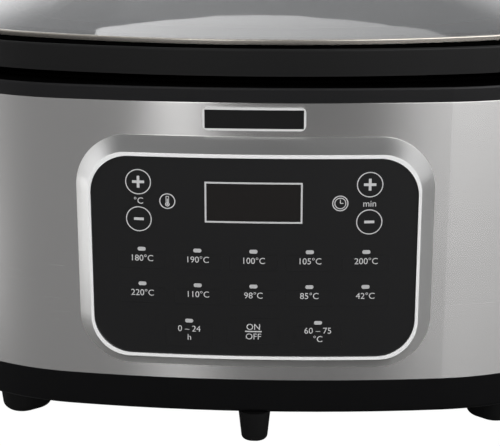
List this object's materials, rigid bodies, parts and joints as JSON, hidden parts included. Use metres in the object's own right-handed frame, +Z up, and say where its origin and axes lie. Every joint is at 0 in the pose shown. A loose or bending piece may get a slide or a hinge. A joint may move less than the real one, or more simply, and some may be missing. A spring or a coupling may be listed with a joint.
{
  "type": "oval multicooker",
  "caption": "Oval countertop slow cooker: steel shell, curved black key panel in a silver bezel, lift-out pot with side handles and a glass lid with knob",
  "frame": {"origin": "middle of the bounding box on the floor plane, under the feet", "axes": "+Z up, front panel towards -Y, +X to the right seen from the front"},
  "size_m": [0.456, 0.286, 0.2637],
  "materials": {
    "shell_steel": "brushed level",
    "housing_black": "satin",
    "foot_black": "matte",
    "well_metal": "satin",
    "plate_metal": "cast",
    "element_steel": "plain",
    "inner_plastic": "matte",
    "board_green": "lacquered board",
    "bezel_silver": "satin",
    "fascia_black": "satin film",
    "key_black": "satin film",
    "indicator_grey": "frosted",
    "display_smoke": "smoked",
    "badge_black": "gloss with a silver edge",
    "inlet_black": "matte",
    "pin_brass": "plated",
    "pot_coating": "non-stick coating",
    "handle_black": "satin",
    "lid_steel": "polished",
    "lid_glass": "clear",
    "knob_black": "satin",
    "washer_rubber": "plain"
  },
  "bodies": {
    "housing": {"outer_shell": "shell_steel", "base_tray": "housing_black", "top_ring": "housing_black", "foot_front": "foot_black", "foot_back": "foot_black", "foot_front_left": "foot_black", "foot_front_right": "foot_black", "foot_back_left": "foot_black", "foot_back_right": "foot_black", "heater_well": "well_metal", "heat_reflector": "well_metal", "heating_plate": "plate_metal", "heating_element": "element_steel", "standoffs": "element_steel", "base_screws": "element_steel", "sensor_spring": "element_steel", "panel_screws": "element_steel", "sensor_guide": "inner_plastic", "panel_cover": "inner_plastic", "tact_switches": "inner_plastic", "control_board": "board_green", "power_board": "board_green", "panel_bezel": "bezel_silver", "panel_fascia": "fascia_black", "indicator_lenses": "indicator_grey", "display_window": "display_smoke", "display_module": "display_smoke", "badge_plate": "badge_black", "inlet_socket": "inlet_black", "inlet_pins": "pin_brass"},
    "pot": {"cooking_pot": "pot_coating", "pot_handle_left": "handle_black", "pot_handle_right": "handle_black", "handle_screws": "element_steel"},
    "lid": {"lid_rim": "lid_steel", "lid_glass": "lid_glass", "knob_plate": "lid_steel", "lid_knob": "knob_black", "knob_washer": "washer_rubber", "knob_screw": "element_steel", "steam_vent": "lid_steel"},
    "sensor": {"sensor_cap": "plate_metal"},
    "key_up_left": {"key_up_left": "key_black"},
    "key_down_left": {"key_down_left": "key_black"},
    "key_up_right": {"key_up_right": "key_black"},
    "key_down_right": {"key_down_right": "key_black"},
    "key_upper_1": {"key_upper_1": "key_black"},
    "key_upper_2": {"key_upper_2": "key_black"},
    "key_upper_3": {"key_upper_3": "key_black"},
    "key_upper_4": {"key_upper_4": "key_black"},
    "key_upper_5": {"key_upper_5": "key_black"},
    "key_lower_1": {"key_lower_1": "key_black"},
    "key_lower_2": {"key_lower_2": "key_black"},
    "key_lower_3": {"key_lower_3": "key_black"},
    "key_lower_4": {"key_lower_4": "key_black"},
    "key_lower_5": {"key_lower_5": "key_black"},
    "key_delay": {"key_delay": "key_black"},
    "key_power": {"key_power": "key_black"},
    "key_warm": {"key_warm": "key_black"}
  },
  "joints": [
    {"name": "pot_lift", "type": "slide", "parent": "housing", "child": "pot", "axis": [0, 0, 1], "range_m": [0, 0.15]},
    {"name": "lid_lift", "type": "slide", "parent": "pot", "child": "lid", "axis": [0, 0, 1], "range_m": [0, 0.1]},
    {"name": "sensor_press", "type": "slide", "parent": "housing", "child": "sensor", "axis": [0, 0, 1], "range_m": [-0.002, 0], "stiffness_N_per_m": 600, "springref_m": 0.002, "deforming": ["sensor_spring"]},
    {"name": "key_up_left_press", "type": "slide", "parent": "housing", "child": "key_up_left", "axis": [0, 1, 0], "range_m": [0, 0.0004], "stiffness_N_per_m": 4000},
    {"name": "key_down_left_press", "type": "slide", "parent": "housing", "child": "key_down_left", "axis": [0, 1, 0], "range_m": [0, 0.0004], "stiffness_N_per_m": 4000},
    {"name": "key_up_right_press", "type": "slide", "parent": "housing", "child": "key_up_right", "axis": [0, 1, 0], "range_m": [0, 0.0004], "stiffness_N_per_m": 4000},
    {"name": "key_down_right_press", "type": "slide", "parent": "housing", "child": "key_down_right", "axis": [0, 1, 0], "range_m": [0, 0.0004], "stiffness_N_per_m": 4000},
    {"name": "key_upper_1_press", "type": "slide", "parent": "housing", "child": "key_upper_1", "axis": [0, 1, 0], "range_m": [0, 0.0004], "stiffness_N_per_m": 4000},
    {"name": "key_upper_2_press", "type": "slide", "parent": "housing", "child": "key_upper_2", "axis": [0, 1, 0], "range_m": [0, 0.0004], "stiffness_N_per_m": 4000},
    {"name": "key_upper_3_press", "type": "slide", "parent": "housing", "child": "key_upper_3", "axis": [0, 1, 0], "range_m": [0, 0.0004], "stiffness_N_per_m": 4000},
    {"name": "key_upper_4_press", "type": "slide", "parent": "housing", "child": "key_upper_4", "axis": [0, 1, 0], "range_m": [0, 0.0004], "stiffness_N_per_m": 4000},
    {"name": "key_upper_5_press", "type": "slide", "parent": "housing", "child": "key_upper_5", "axis": [0, 1, 0], "range_m": [0, 0.0004], "stiffness_N_per_m": 4000},
    {"name": "key_lower_1_press", "type": "slide", "parent": "housing", "child": "key_lower_1", "axis": [0, 1, 0], "range_m": [0, 0.0004], "stiffness_N_per_m": 4000},
    {"name": "key_lower_2_press", "type": "slide", "parent": "housing", "child": "key_lower_2", "axis": [0, 1, 0], "range_m": [0, 0.0004], "stiffness_N_per_m": 4000},
    {"name": "key_lower_3_press", "type": "slide", "parent": "housing", "child": "key_lower_3", "axis": [0, 1, 0], "range_m": [0, 0.0004], "stiffness_N_per_m": 4000},
    {"name": "key_lower_4_press", "type": "slide", "parent": "housing", "child": "key_lower_4", "axis": [0, 1, 0], "range_m": [0, 0.0004], "stiffness_N_per_m": 4000},
    {"name": "key_lower_5_press", "type": "slide", "parent": "housing", "child": "key_lower_5", "axis": [0, 1, 0], "range_m": [0, 0.0004], "stiffness_N_per_m": 4000},
    {"name": "key_delay_press", "type": "slide", "parent": "housing", "child": "key_delay", "axis": [0, 1, 0], "range_m": [0, 0.0004], "stiffness_N_per_m": 4000},
    {"name": "key_power_press", "type": "slide", "parent": "housing", "child": "key_power", "axis": [0, 1, 0], "range_m": [0, 0.0004], "stiffness_N_per_m": 4000},
    {"name": "key_warm_press", "type": "slide", "parent": "housing", "child": "key_warm", "axis": [0, 1, 0], "range_m": [0, 0.0004], "stiffness_N_per_m": 4000}
  ]
}
